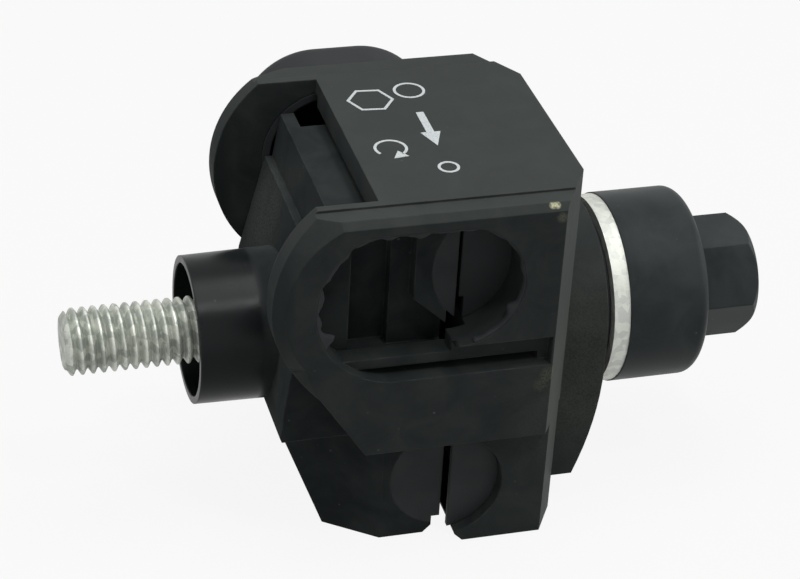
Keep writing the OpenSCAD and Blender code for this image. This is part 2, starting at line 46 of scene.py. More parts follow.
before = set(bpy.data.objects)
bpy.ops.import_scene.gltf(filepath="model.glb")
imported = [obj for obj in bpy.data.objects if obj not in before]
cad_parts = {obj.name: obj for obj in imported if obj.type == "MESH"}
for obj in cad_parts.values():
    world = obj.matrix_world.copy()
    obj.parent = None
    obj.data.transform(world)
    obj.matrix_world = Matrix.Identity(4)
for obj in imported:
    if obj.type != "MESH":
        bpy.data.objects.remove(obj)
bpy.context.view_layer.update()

MM = 0.001
TURN = 2 * math.pi
BOLT_LOW, BOLT_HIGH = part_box("clamping_bolt")
MOUTH_LOW, MOUTH_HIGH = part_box("front_knockout")
WASHER_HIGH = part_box("flat_washer")[1]
SHELL_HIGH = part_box("head_shell")[1]
AXIS_Z = (BOLT_LOW.z + BOLT_HIGH.z) / 2

# Radius on the edges of the moulded pieces.
EDGE_ROUND = 0.3 * MM
# Where along X the nut half's polished sleeve starts to pass into its matt body, and where it has done so.
SLEEVE_END, BODY_START = -28.9 * MM, -27.6 * MM
# Height at which dust starts to lie on the housing, and from which it lies in full.
DUST_LOW, DUST_HIGH = 30 * MM, 42 * MM
# Most of a noise pattern lies between these two values.
NOISE_LOW, NOISE_HIGH = 0.3, 0.7


def linear(code):
    """Turns an sRGB hex code into linear red, green and blue."""
    parts = [int(code[i : i + 2], 16) / 255 for i in (1, 3, 5)]
    return tuple(p / 12.92 if p <= 0.04045 else ((p + 0.055) / 1.055) ** 2.4 for p in parts)


def colour(name, note, code):
    """A colour property with its default as a hex code."""
    return FloatVectorProperty(
        name=name, description=note, subtype="COLOR", size=3, min=0, max=1, default=linear(code)
    )


def length(name, note, default):
    """A length property with its default in metres."""
    return FloatProperty(
        name=name, description=note, subtype="DISTANCE", unit="LENGTH", precision=5, default=default
    )


def position(name, note, *millimetres):
    """A place property with its default in millimetres."""
    return FloatVectorProperty(
        name=name, description=note, subtype="TRANSLATION", unit="LENGTH", size=len(millimetres),
        default=[v * MM for v in millimetres],
    )


def turned(name, note, degrees):
    """An angle property with its default in degrees."""
    return FloatProperty(
        name=name, description=note, subtype="ANGLE", unit="ROTATION", default=math.radians(degrees)
    )


def power(name, note, watts):
    """A property for the power of a lamp."""
    return FloatProperty(name=name, description=note, unit="POWER", default=watts)


class ClampBoltSizes(bpy.types.PropertyGroup):
    """Sizes of the bolt's thread, a true helix where the solid has rings, and of its head."""

    pitch: length("Pitch", "Pitch of the M8 coarse thread", 1.25 * MM)
    crest: length("Crest radius", "Radius over the rounded crests of the thread", 3.97 * MM)
    root: length("Root radius", "Radius in the rounded roots of the thread", 3.26 * MM)
    tip: length("Tip radius", "Radius of the flat at the end of the tip's chamfer", 3.1 * MM)
    width: length("Head width", "Width across the flats of the bolt's own head", 13 * MM)


class ClampKnockoutSizes(bpy.types.PropertyGroup):
    """Sizes of the mouth in the front collar and of the rest of the knock-out that was torn from it."""

    left_r: length("Left radius", "Radius of the mouth's left side", 10.3 * MM)
    left_drop: length("Left drop", "Depth of the left side's centre under the mouth's top", 9.2 * MM)
    left_end: length("Left end", "Depth of the rest's left end under the left side's centre", 4.9 * MM)
    right_r: length("Right radius", "Radius of the mouth's right side", 7.8 * MM)
    skin: length("Skin", "Thickness of the skin where it leaves the wall", 1 * MM)
    lip: length("Torn lip", "Thickness of the torn edge", 0.3 * MM)
    rest: length("Rest", "Mean width of the rest of the skin", 0.62 * MM)
    jag: length("Jags", "Depth of the jags in the torn edge", 0.34 * MM)
    tab: length("Tab", "Added width of the tab at the lower left end", 0.85 * MM)
    flap: length("Flap", "Added width of the flap on the lower right", 0.5 * MM)


class ClampMarkSizes(bpy.types.PropertyGroup):
    """Sizes and places of the printed marks on the top panel."""

    stroke: length("Stroke", "Width of a printed line", 0.34 * MM)
    proud: length("Ink", "Thickness of the ink on the panel", 0.03 * MM)
    main_ring: length("Main cable ring", "Radius of the ring for the main cable", 1.75 * MM)
    main_place: position("Main cable place", "Middle of the ring for the main cable", -7.55, 9.9)
    branch_ring: length("Branch cable ring", "Radius of the ring for the branch cable", 1.1 * MM)
    branch_place: position("Branch cable place", "Middle of the ring for the branch cable", -8.0, -8.6)
    hexagon: length("Hexagon", "Radius of the drive mark through its corners", 2.66 * MM)
    hexagon_place: position("Hexagon place", "Middle of the drive mark", -12.7, 8.34)
    tilt: turned("Tilt", "Turn of the hexagon on the panel", -5)
    turn_mark: length("Turn mark", "Radius of the tightening mark", 1.8 * MM)
    turn_place: position("Turn mark place", "Middle of the tightening mark", -13.35, -3.3)
    arrow_tail: position("Arrow tail", "Start of the arrow, by the main cable's ring", -7.78, 4.45)
    arrow_tip: position("Arrow tip", "Point of the arrow, by the branch cable's ring", -7.86, -3.61)


class ClampColours(bpy.types.PropertyGroup):
    """Colours of the finishes."""

    nylon: colour("Nylon", "Black glass-filled nylon of the head's shell", "#232727")
    nylon_smooth: colour("Smooth nylon", "Black glass-filled nylon of the nut's half", "#202425")
    nylon_cap: colour("Cap nylon", "Black nylon of the insulated head", "#232829")
    # Also the colour of the painted sheen on the corner facets and of the painted light on the nut's slope.
    nylon_worn_and_painted_light: colour("Worn nylon", "Nylon where it is rubbed or dusty", "#5c605d")
    # Also the colour of the painted glints on the front top corner and of the painted light on the boss.
    nylon_scuff_and_glint: colour("Chipped nylon", "Nylon where a corner is rubbed through its skin", "#c4c3a2")
    elastomer: colour("Elastomer", "Soft black of the knock-outs", "#27292a")
    rubber: colour("Rubber", "Black of the seals", "#1f2122")
    zinc: colour("Zinc", "Hot-dip zinc of the bolt", "#cbcec5")
    zinc_dull: colour("Dull zinc", "Zinc where it has dulled", "#a0a59d")
    washer: colour("Washer zinc", "Zinc of the washer", "#b9bbb6")
    tin: colour("Tin", "Tin on the copper blades", "#b9b3a6")
    ink: colour("Ink", "Printed marks", "#c2c8c9")


class ClampStageSettings(bpy.types.PropertyGroup):
    """Light, floor and camera."""

    floor: colour("Floor", "Pale floor", "#b8b8b8")
    white: FloatProperty(name="White", description="Share of plain white in the floor as seen", default=0.9)
    key: power("Key light", "Power of the soft light above", 3.05)
    fill: power("Fill light", "Power of the soft light at the right", 1.1)
    left: power("Left light", "Power of the soft light at the upper left", 0.9)
    front: power("Front light", "Power of the small light above the front", 1.2)
    wide: power("Wide light", "Power of the soft light before the front", 0.6)
    sky: FloatProperty(name="Sky", description="Strength of the even light all round", default=0.1)
    sensor: FloatProperty(name="Sensor", description="Width of the sensor in millimetres", default=36)
    lens: FloatProperty(name="Lens", description="Focal length in millimetres", default=110.07)
    elevation: turned("Elevation", "How far the camera looks down", 32.363)
    yaw: turned("Yaw", "Turn of the camera from +Y to +X", 17.153)
    roll: turned("Roll", "Roll of the camera", 3.489)
    place: position("Place", "Where the camera stands", -83.13, -236.26, 182.53)


class ClampSettings(bpy.types.PropertyGroup):
    """All that a user would change on the clamp."""

    bolt: PointerProperty(type=ClampBoltSizes)
    knockout: PointerProperty(type=ClampKnockoutSizes)
    marks: PointerProperty(type=ClampMarkSizes)
    colours: PointerProperty(type=ClampColours)
    stage: PointerProperty(type=ClampStageSettings)
    columns: IntProperty(name="Columns", description="Points round the thread", default=72, min=24, max=120)


def add(tree, kind, inputs=None, **settings):
    """Adds a node with its settings, and gives each input, by name or number, a value or a socket's link."""
    made = tree.nodes.new(kind)
    for name, value in settings.items():
        setattr(made, name, value)
    for name, value in (inputs or {}).items():
        if isinstance(value, bpy.types.NodeSocket):
            tree.links.new(value, made.inputs[name])
        else:
            made.inputs[name].default_value = value
    return made


def per_metre(size_mm):
    """Scale of a pattern whose features are a number of millimetres apart."""
    return 1000 / size_mm


def opaque(rgb):
    """A colour with full alpha."""
    return tuple(rgb) + (1.0,)


def cleared_tree(owner):
    """The emptied node tree of a material or a world."""
    owner.use_nodes = True
    owner.node_tree.nodes.clear()
    return owner.node_tree


def new_material(name):
    """A material, its emptied tree and the coordinates of the object."""
    made = bpy.data.materials.new(name)
    tree = cleared_tree(made)
    return made, tree, add(tree, "ShaderNodeTexCoord").outputs["Object"]


def edge_wear_and_facet_sheen(tree, soft, normal, facing, patches):
    """Share of wear on the nylon in patches along its rounded edges, and of painted sheen on all of its
    upright corner facets.

    An edge is where the rounded normal leans away from the face's own. A corner facet is where the face's
    normal has the facet's X and no Z.
    """
    facet_x, facet_spread, upright_spread = 0.859, 0.04, 0.03
    strength = 0.4
    lean = add(tree, "ShaderNodeVectorMath", {0: soft, 1: normal}, operation="DOT_PRODUCT").outputs["Value"]
    edge = add(
        tree, "ShaderNodeMapRange", {"Value": lean, "From Min": 0.975, "From Max": 0.80}
    ).outputs["Result"]
    rub = add(tree, "ShaderNodeMath", {0: edge, 1: patches}, operation="MULTIPLY").outputs[0]
    aslant = add(
        tree, "ShaderNodeMath", {0: facing.outputs["X"], 1: facet_x, 2: facet_spread}, operation="COMPARE"
    ).outputs[0]
    upright = add(
        tree, "ShaderNodeMath", {0: facing.outputs["Z"], 1: 0.0, 2: upright_spread}, operation="COMPARE"
    ).outputs[0]
    # Painted sheen: every upright corner facet takes the pale colour, the same as a rubbed edge.
    corner = add(tree, "ShaderNodeMath", {0: aslant, 1: upright}, operation="MULTIPLY").outputs[0]
    either = add(tree, "ShaderNodeMath", {0: rub, 1: corner}, operation="MAXIMUM").outputs[0]
    return add(tree, "ShaderNodeMath", {0: either, 1: strength}, operation="MULTIPLY").outputs[0]


def dust_bloom(tree, facing, at, settled):
    """Share of dust that has settled on the nylon: up to a given share, on high faces that look up."""
    up = add(
        tree, "ShaderNodeMapRange", {"Value": facing.outputs["Z"], "From Min": 0.3, "To Max": settled}
    ).outputs["Result"]
    high = add(
        tree, "ShaderNodeMapRange", {"Value": at.outputs["Z"], "From Min": DUST_LOW, "From Max": DUST_HIGH}
    ).outputs["Result"]
    return add(tree, "ShaderNodeMath", {0: up, 1: high}, operation="MULTIPLY").outputs[0]


def dust_specks(tree, place, patches):
    """Share of dust in specks on the nylon, which are about 2.6 mm apart and lie in patches."""
    strength = 0.4
    dots = add(
        tree, "ShaderNodeTexVoronoi", {"Vector": place, "Scale": per_metre(2.6), "Randomness": 1.0}
    ).outputs["Distance"]
    speck = add(
        tree, "ShaderNodeMapRange", {"Value": dots, "From Min": 0.075, "From Max": 0.045}
    ).outputs["Result"]
    dust = add(tree, "ShaderNodeMath", {0: speck, 1: patches}, operation="MULTIPLY").outputs[0]
    return add(tree, "ShaderNodeMath", {0: dust, 1: strength}, operation="MULTIPLY").outputs[0]


def with_scuffs_and_painted_light(tree, place, skin, grain, scuff_and_light_colour, scuffs_and_painted_light):
    """A skin with its scuffs, painted glints and painted light, which fade out from their middles and are
    broken up by the grain.
    """
    solid_part = 0.4
    broken = add(
        tree, "ShaderNodeMapRange", {"Value": grain, "From Min": 0.38, "From Max": 0.56, "To Min": 0.3}
    ).outputs["Result"]
    for point, radius, strength in scuffs_and_painted_light:
        middle = [v * MM for v in point]
        outer = radius * MM
        away = add(
            tree, "ShaderNodeVectorMath", {0: place, 1: middle}, operation="DISTANCE"
        ).outputs["Value"]
        near = add(
            tree, "ShaderNodeMapRange",
            {"Value": away, "From Min": outer, "From Max": solid_part * outer, "To Max": strength},
        ).outputs["Result"]
        mark = add(tree, "ShaderNodeMath", {0: near, 1: broken}, operation="MULTIPLY").outputs[0]
        skin = add(
            tree, "ShaderNodeMix", {"Factor": mark, "A": skin, "B": opaque(scuff_and_light_colour)}, data_type="RGBA"
        ).outputs["Result"]
    return skin


def moulded_nylon(name, base, worn_and_painted_light, rough, grain_depth, level, settled, matt=0.0, scuff_and_light_colour=None, scuffs_and_painted_light=()):
    """Glass-filled nylon, injection moulded in black.

    Rough is the span of its roughness, level its specular level and settled the share of dust on it. Matt is
    added to the roughness past the polished sleeve. Each entry of the scuffs, which also hold painted glints
    and painted light, is a point and a radius in millimetres, and a strength; all take the colour given for
    them.
    """
    # A matt, slightly green-grey black: faint flow clouds, a fine spark-eroded grain that spreads the light,
    # rounded edges that catch it, rubbed edges, painted sheen on the corner facets, a bloom of dust on top,
    # a few specks, the odd scuff, and painted glints and painted light where they are given.
    made, tree, place = new_material(name)
    soft = add(tree, "ShaderNodeBevel", {"Radius": EDGE_ROUND}, samples=6).outputs["Normal"]
    normal = add(tree, "ShaderNodeNewGeometry").outputs["True Normal"]
    facing = add(tree, "ShaderNodeSeparateXYZ", {"Vector": normal})
    at = add(tree, "ShaderNodeSeparateXYZ", {"Vector": place})
    clouds = add(
        tree, "ShaderNodeTexNoise",
        {"Vector": place, "Scale": per_metre(6), "Detail": 4.0, "Roughness": 0.6, "Distortion": 0.6},
    ).outputs["Fac"]
    flow = add(
        tree, "ShaderNodeMapRange", {"Value": clouds, "From Min": 0.35, "From Max": 0.68}
    ).outputs["Result"]
    # The grain of the tool is about 0.1 mm and is drawn at 0.22 mm, so that it shows.
    grain = add(
        tree, "ShaderNodeTexNoise",
        {"Vector": place, "Scale": per_metre(0.22), "Detail": 2.0, "Roughness": 0.6},
    ).outputs["Fac"]
    handled = add(
        tree, "ShaderNodeTexNoise", {"Vector": place, "Scale": per_metre(3.1), "Detail": 3.0}
    ).outputs["Fac"]
    patches = add(
        tree, "ShaderNodeMapRange", {"Value": handled, "From Min": 0.42, "From Max": 0.62, "To Min": 0.15}
    ).outputs["Result"]
    walls = add(
        tree, "ShaderNodeMapRange",
        {"Value": at.outputs["X"], "From Min": SLEEVE_END, "From Max": BODY_START},
    ).outputs["Result"]
    paleness = 0.14
    cloudy = tuple((1 - paleness) * b + paleness * w for b, w in zip(base, worn_and_painted_light))
    # A polished sleeve scatters less light, and a piece without one keeps its colour all over.
    polish = 0.5 if matt else 1.0
    polished = tuple(polish * b for b in base)
    body = add(
        tree, "ShaderNodeMix", {"Factor": flow, "A": opaque(base), "B": opaque(cloudy)}, data_type="RGBA"
    ).outputs["Result"]
    skin = add(
        tree, "ShaderNodeMix", {"Factor": walls, "A": opaque(polished), "B": body}, data_type="RGBA"
    ).outputs["Result"]
    bloom = dust_bloom(tree, facing, at, settled)
    # This share holds both the wear on the edges and the painted sheen on the corner facets.
    rubbed = edge_wear_and_facet_sheen(tree, soft, normal, facing, patches)
    specks = dust_specks(tree, place, patches)
    for share in (bloom, rubbed, specks):
        skin = add(
            tree, "ShaderNodeMix", {"Factor": share, "A": skin, "B": opaque(worn_and_painted_light)}, data_type="RGBA"
        ).outputs["Result"]
    skin = with_scuffs_and_painted_light(tree, place, skin, grain, scuff_and_light_colour, scuffs_and_painted_light)
    gloss = add(
        tree, "ShaderNodeMapRange",
        {
            "Value": clouds, "From Min": NOISE_LOW, "From Max": NOISE_HIGH,
            "To Min": rough[0], "To Max": rough[1],
        },
    ).outputs["Result"]
    gloss = add(tree, "ShaderNodeMath", {0: walls, 1: matt, 2: gloss}, operation="MULTIPLY_ADD").outputs[0]
    bump = add(
        tree, "ShaderNodeBump",
        {"Strength": 0.35, "Distance": grain_depth, "Height": grain, "Normal": soft},
    ).outputs["Normal"]
    shader = add(
        tree, "ShaderNodeBsdfPrincipled",
        {"Base Color": skin, "Roughness": gloss, "Normal": bump, "IOR": 1.53, "Specular IOR Level": level},
    )
    add(tree, "ShaderNodeOutputMaterial", {"Surface": shader.outputs[0]})
    return made


def soft_black(name, base, grain_mm, rough, level):
    """Black elastomer or rubber, moulded; rough is its span of roughness and level its specular level."""
    # Softer than the nylon to look at: no crisp highlight, a little cloudy bloom and a faint grain, which is
    # finer than grain_mm on the real one and is drawn at that, so that it shows.
    made, tree, place = new_material(name)
    soft = add(tree, "ShaderNodeBevel", {"Radius": EDGE_ROUND}, samples=6).outputs["Normal"]
    bloom = add(
        tree, "ShaderNodeTexNoise",
        {"Vector": place, "Scale": per_metre(4.5), "Detail": 3.0, "Roughness": 0.55},
    ).outputs["Fac"]
    grain = add(
        tree, "ShaderNodeTexNoise", {"Vector": place, "Scale": per_metre(grain_mm), "Detail": 2.0}
    ).outputs["Fac"]
    paler = tuple(1.5 * b + 0.002 for b in base)
    body = add(
        tree, "ShaderNodeMix", {"Factor": bloom, "A": opaque(base), "B": opaque(paler)}, data_type="RGBA"
    ).outputs["Result"]
    gloss = add(
        tree, "ShaderNodeMapRange",
        {
            "Value": bloom, "From Min": NOISE_LOW, "From Max": NOISE_HIGH,
            "To Min": rough[0], "To Max": rough[1],
        },
    ).outputs["Result"]
    bump = add(
        tree, "ShaderNodeBump", {"Strength": 0.3, "Distance": 0.03 * MM, "Height": grain, "Normal": soft}
    ).outputs["Normal"]
    shader = add(
        tree, "ShaderNodeBsdfPrincipled",
        {"Base Color": body, "Roughness": gloss, "Normal": bump, "IOR": 1.5, "Specular IOR Level": level},
    )
    add(tree, "ShaderNodeOutputMaterial", {"Surface": shader.outputs[0]})
    return made


def galvanised_steel(name, bright, dull, deep):
    """Steel, hot-dip galvanised and spun; deep is how far painted shade darkens the thread towards its root
    radius.
    """
    # Pale matt grey with a cloudy crystal pattern, duller spots, small dark pits and painted shade down in the
    # thread.
    made, tree, place = new_material(name)
    dark_r, clear_r = 3.3 * MM, 3.85 * MM
    crystal = add(
        tree, "ShaderNodeTexVoronoi", {"Vector": place, "Scale": per_metre(0.9), "Randomness": 1.0}
    ).outputs["Color"]
    tone = add(tree, "ShaderNodeSeparateColor", {"Color": crystal}).outputs["Red"]
    clouds = add(
        tree, "ShaderNodeTexNoise",
        {"Vector": place, "Scale": per_metre(1.3), "Detail": 4.0, "Roughness": 0.65},
    ).outputs["Fac"]
    grit = add(
        tree, "ShaderNodeTexNoise",
        {"Vector": place, "Scale": per_metre(0.28), "Detail": 3.0, "Roughness": 0.6},
    ).outputs["Fac"]
    blend = add(tree, "ShaderNodeMix", {"Factor": 0.65, "A": tone, "B": clouds}).outputs["Result"]
    spots = add(
        tree, "ShaderNodeMapRange", {"Value": blend, "From Min": 0.40, "From Max": 0.62}
    ).outputs["Result"]
    # Painted shade: the distance from the bolt's axis tells the bottom of the thread from its crests, and the
    # thread is darkened towards its root radius.
    at = add(tree, "ShaderNodeSeparateXYZ", {"Vector": place})
    height = add(tree, "ShaderNodeMath", {0: at.outputs["Z"], 1: AXIS_Z}, operation="SUBTRACT").outputs[0]
    across = add(tree, "ShaderNodeCombineXYZ", {"Y": at.outputs["Y"], "Z": height}).outputs["Vector"]
    radius = add(tree, "ShaderNodeVectorMath", {0: across}, operation="LENGTH").outputs["Value"]
    root_shade = add(
        tree, "ShaderNodeMapRange",
        {"Value": radius, "From Min": dark_r, "From Max": clear_r, "To Min": deep, "To Max": 0.0},
    ).outputs["Result"]
    pits = add(
        tree, "ShaderNodeMapRange", {"Value": grit, "From Min": 0.36, "From Max": 0.28, "To Max": 0.55}
    ).outputs["Result"]
    zinc = add(
        tree, "ShaderNodeMix", {"Factor": spots, "A": opaque(dull), "B": opaque(bright)}, data_type="RGBA"
    ).outputs["Result"]
    shaded = tuple(0.45 * d for d in dull)
    for share in (root_shade, pits):
        zinc = add(
            tree, "ShaderNodeMix", {"Factor": share, "A": zinc, "B": opaque(shaded)}, data_type="RGBA"
        ).outputs["Result"]
    gloss = add(
        tree, "ShaderNodeMapRange",
        {"Value": clouds, "From Min": NOISE_LOW, "From Max": NOISE_HIGH, "To Min": 0.66, "To Max": 0.5},
    ).outputs["Result"]
    bump = add(
        tree, "ShaderNodeBump", {"Strength": 0.45, "Distance": 0.05 * MM, "Height": grit}
    ).outputs["Normal"]
    shader = add(
        tree, "ShaderNodeBsdfPrincipled",
        {"Base Color": zinc, "Roughness": gloss, "Normal": bump, "Metallic": 0.65},
    )
    add(tree, "ShaderNodeOutputMaterial", {"Surface": shader.outputs[0]})
    return made


def tinned_copper(name, base):
    """Copper strip, stamped into teeth and tinned."""
    # A warm pale metal with fine lines drawn along the strip, and duller tin in clouds.
    made, tree, place = new_material(name)
    drawn = add(tree, "ShaderNodeMapping", {"Vector": place, "Scale": (1.0, 1.0, 0.12)}).outputs["Vector"]
    lines = add(
        tree, "ShaderNodeTexNoise", {"Vector": drawn, "Scale": per_metre(0.25), "Detail": 2.0}
    ).outputs["Fac"]
    clouds = add(
        tree, "ShaderNodeTexNoise", {"Vector": place, "Scale": per_metre(2.2), "Detail": 3.0}
    ).outputs["Fac"]
    dull = tuple(0.6 * b for b in base)
    body = add(
        tree, "ShaderNodeMix", {"Factor": clouds, "A": opaque(dull), "B": opaque(base)}, data_type="RGBA"
    ).outputs["Result"]
    gloss = add(
        tree, "ShaderNodeMapRange",
        {"Value": clouds, "From Min": NOISE_LOW, "From Max": NOISE_HIGH, "To Min": 0.45, "To Max": 0.28},
    ).outputs["Result"]
    bump = add(
        tree, "ShaderNodeBump", {"Strength": 0.25, "Distance": 0.02 * MM, "Height": lines}
    ).outputs["Normal"]
    shader = add(
        tree, "ShaderNodeBsdfPrincipled",
        {"Base Color": body, "Roughness": gloss, "Normal": bump, "Metallic": 1.0},
    )
    add(tree, "ShaderNodeOutputMaterial", {"Surface": shader.outputs[0]})
    return made


def stamped_ink(name, base, under):
    """Pale ink, pad printed on the grained panel."""
    # Slightly broken by the grain under it, so that the nylon shows through in fine pinholes.
    made, tree, place = new_material(name)
    grain = add(
        tree, "ShaderNodeTexNoise",
        {"Vector": place, "Scale": per_metre(0.16), "Detail": 2.0, "Roughness": 0.6},
    ).outputs["Fac"]
    cover = add(
        tree, "ShaderNodeMapRange", {"Value": grain, "From Min": 0.27, "From Max": 0.46, "To Min": 0.35}
    ).outputs["Result"]
    body = add(
        tree, "ShaderNodeMix", {"Factor": cover, "A": opaque(under), "B": opaque(base)}, data_type="RGBA"
    ).outputs["Result"]
    gloss = add(
        tree, "ShaderNodeMapRange",
        {"Value": grain, "From Min": NOISE_LOW, "From Max": NOISE_HIGH, "To Min": 0.62, "To Max": 0.5},
    ).outputs["Result"]
    shader = add(
        tree, "ShaderNodeBsdfPrincipled",
        {"Base Color": body, "Roughness": gloss, "Specular IOR Level": 0.3},
    )
    add(tree, "ShaderNodeOutputMaterial", {"Surface": shader.outputs[0]})
    return made


def finish_nodes(material, names):
    """Gives carried-over solids their finish."""
    for name in names:
        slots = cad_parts[name].data.materials
        slots.clear()
        slots.append(material)


def ring_faces(rows, columns, shift=0):
    """Quads of a grid whose columns run round: a row's last column meets the first, shift rows later."""
    i, j = np.meshgrid(np.arange(rows - 1 - shift), np.arange(columns), indexing="ij")
    step = np.where(j == columns - 1, shift, 0)
    after = (j + 1) % columns
    lower = (i * columns + j, (i + step) * columns + after)
    upper = ((i + 1 + step) * columns + after, (i + 1) * columns + j)
    return np.stack(lower + upper, axis=-1).reshape(-1, 4)


def tube_faces(rows, columns):
    """Quads of a grid that runs round both ways."""
    i, j = np.meshgrid(np.arange(rows), np.arange(columns), indexing="ij")
    below, after = (i + 1) % rows, (j + 1) % columns
    return np.stack(
        (i * columns + j, i * columns + after, below * columns + after, below * columns + j), axis=-1
    ).reshape(-1, 4)


def make_piece(name, parts, material, body, crease=None):
    """One object from several grids of points and quads.

    Its poles and seams are merged and its faces turned outwards. Where a crease angle is given, it is shaded
    smooth up to that angle.
    """
    same_point, no_length = 1e-7, 1e-8
    starts = np.cumsum([0] + [len(part_points) for part_points, part_quads in parts[:-1]])
    points = np.concatenate([part_points for part_points, part_quads in parts])
    quads = np.concatenate([part[1] + start for part, start in zip(parts, starts)])
    mesh = bpy.data.meshes.new(name)
    mesh.from_pydata(points.tolist(), [], quads.tolist())
    work = bmesh.new()
    work.from_mesh(mesh)
    bmesh.ops.remove_doubles(work, verts=work.verts, dist=same_point)
    bmesh.ops.dissolve_degenerate(work, dist=no_length, edges=work.edges)
    bmesh.ops.recalc_face_normals(work, faces=work.faces)
    work.to_mesh(mesh)
    work.free()
    if crease is not None:
        mesh.shade_smooth()
        mesh.set_sharp_from_angle(angle=crease)
    mesh.materials.append(material)
    made = bpy.data.objects.new(name, mesh)
    bpy.context.scene.collection.objects.link(made)
    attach(made, body)
    return made


def thread_grid(sizes, columns):
    """The bolt's threaded shank as one helical grid.

    Row i stands for a distance s along the bolt and column j for an angle a; x = s + pitch * a / turn, so a
    row climbs one pitch in a turn and its last column meets the first column of the row a pitch later. The
    radius goes from the root to the crest and back once a pitch, on a step of the distance from the crest
    that is partly smooth and partly straight, and is kept under the cone of the tip's chamfer. Past both
    ends the rows lie on the end's face and draw in to its middle, which closes the shank.
    """
    # Rows to a pitch.
    steps = 12
    # Shares of half a pitch that are flat on the crest and in the root, and how smooth the flank between is.
    crest_flat, root_flat, smooth = 0.16, 0.06, 0.55
    # Rise of the tip's chamfer along the bolt, and the length over which a closed end draws in.
    chamfer, reach = 1.15, 2 * sizes.pitch
    start = BOLT_LOW.x - reach - 1.5 * sizes.pitch
    stop = WASHER_HIGH.x + reach + 2.5 * sizes.pitch
    rows = int((stop - start) / sizes.pitch * steps) + 1
    s = start + sizes.pitch * np.arange(rows) / steps
    a = TURN * np.arange(columns) / columns
    x = s[:, None] + sizes.pitch * a[None, :] / TURN
    away = np.abs(2 * ((np.arange(rows) / steps) % 1) - 1)
    rise = np.clip((1 - root_flat - away) / (1 - root_flat - crest_flat), 0, 1)
    height = smooth * rise * rise * (3 - 2 * rise) + (1 - smooth) * rise
    r = (sizes.root + (sizes.crest - sizes.root) * height)[:, None] + 0 * x
    r = np.minimum(r, sizes.tip + chamfer * np.maximum(x - BOLT_LOW.x, 0))
    r = np.where(x < BOLT_LOW.x, sizes.tip * np.clip(1 - (BOLT_LOW.x - x) / reach, 0, 1), r)
    r = r * (1 - np.clip((x - WASHER_HIGH.x) / reach, 0, 1))
    x = np.clip(x, BOLT_LOW.x, WASHER_HIGH.x)
    points = np.stack((x, r * np.cos(a)[None, :], AXIS_Z + r * np.sin(a)[None, :]), axis=-1)
    return points.reshape(-1, 3), ring_faces(rows, columns, steps)


def hexagon_grid(sizes):
    """The bolt's own head: rows of one hexagon, closed at a pole on each face.

    At an angle a the flat lies at half the width over the cosine of the angle to the middle of that flat,
    and each row keeps the lesser of that and its own limit, which rounds the corners where the chamfer is.
    """
    columns = 72
    # Height of the chamfer, and the share of the corners' radius that it leaves on the face.
    chamfer, left = 0.8 * MM, 0.93
    a = TURN * np.arange(columns) / columns
    sixth = TURN / 6
    flat = sizes.width / 2 / np.cos((a + sixth / 2) % sixth - sixth / 2)
    corner = sizes.width / 2 / math.cos(sixth / 2)
    low, high = WASHER_HIGH.x, BOLT_HIGH.x
    x = np.array([low, low, high - chamfer, high - chamfer / 2, high, high])
    limit = np.array([0, 1, 1, (1 + left) / 2, left, 0]) * corner
    r = np.minimum(flat[None, :], limit[:, None])
    points = np.stack((x[:, None] + 0 * r, r * np.cos(a), AXIS_Z + r * np.sin(a)), axis=-1)
    return points.reshape(-1, 3), ring_faces(len(x), columns)


def mouth_path(sizes, count):
    """Points, outward normals and distances along the mouth's edge, from its lower left end over its top.

    The distance gives the point: an arc about the collar's middle on the left, up to where it meets the line
    of the top, then that line, then an arc about the main cable's middle down to the lower right end.
    """
    left = np.array((MOUTH_LOW.x + sizes.left_r, MOUTH_HIGH.z - sizes.left_drop))
    right = np.array((MOUTH_HIGH.x - sizes.right_r, MOUTH_HIGH.z - sizes.right_r))
    first = math.pi + math.asin(sizes.left_end / sizes.left_r)
    meet = math.pi - math.asin(sizes.left_drop / sizes.left_r)
    last = math.asin((right[1] - MOUTH_LOW.z) / sizes.right_r)
    corner = left[0] + sizes.left_r * math.cos(meet)
    arc = sizes.left_r * (first - meet)
    line = right[0] - corner
    d = np.linspace(0, arc + line + sizes.right_r * (math.pi / 2 + last), count)
    on_left, on_line = d < arc, (d >= arc) & (d < arc + line)
    angle = np.select(
        [on_left, on_line],
        [first - d / sizes.left_r, math.pi / 2 + 0 * d],
        math.pi / 2 - (d - arc - line) / sizes.right_r,
    )
    normal = np.stack((np.cos(angle), np.sin(angle)), axis=-1)
    across = np.stack((corner + d - arc, MOUTH_HIGH.z + 0 * d), axis=-1)
    path = np.where(on_left[:, None], left + sizes.left_r * normal, right + sizes.right_r * normal)
    return np.where(on_line[:, None], across, path), normal, d


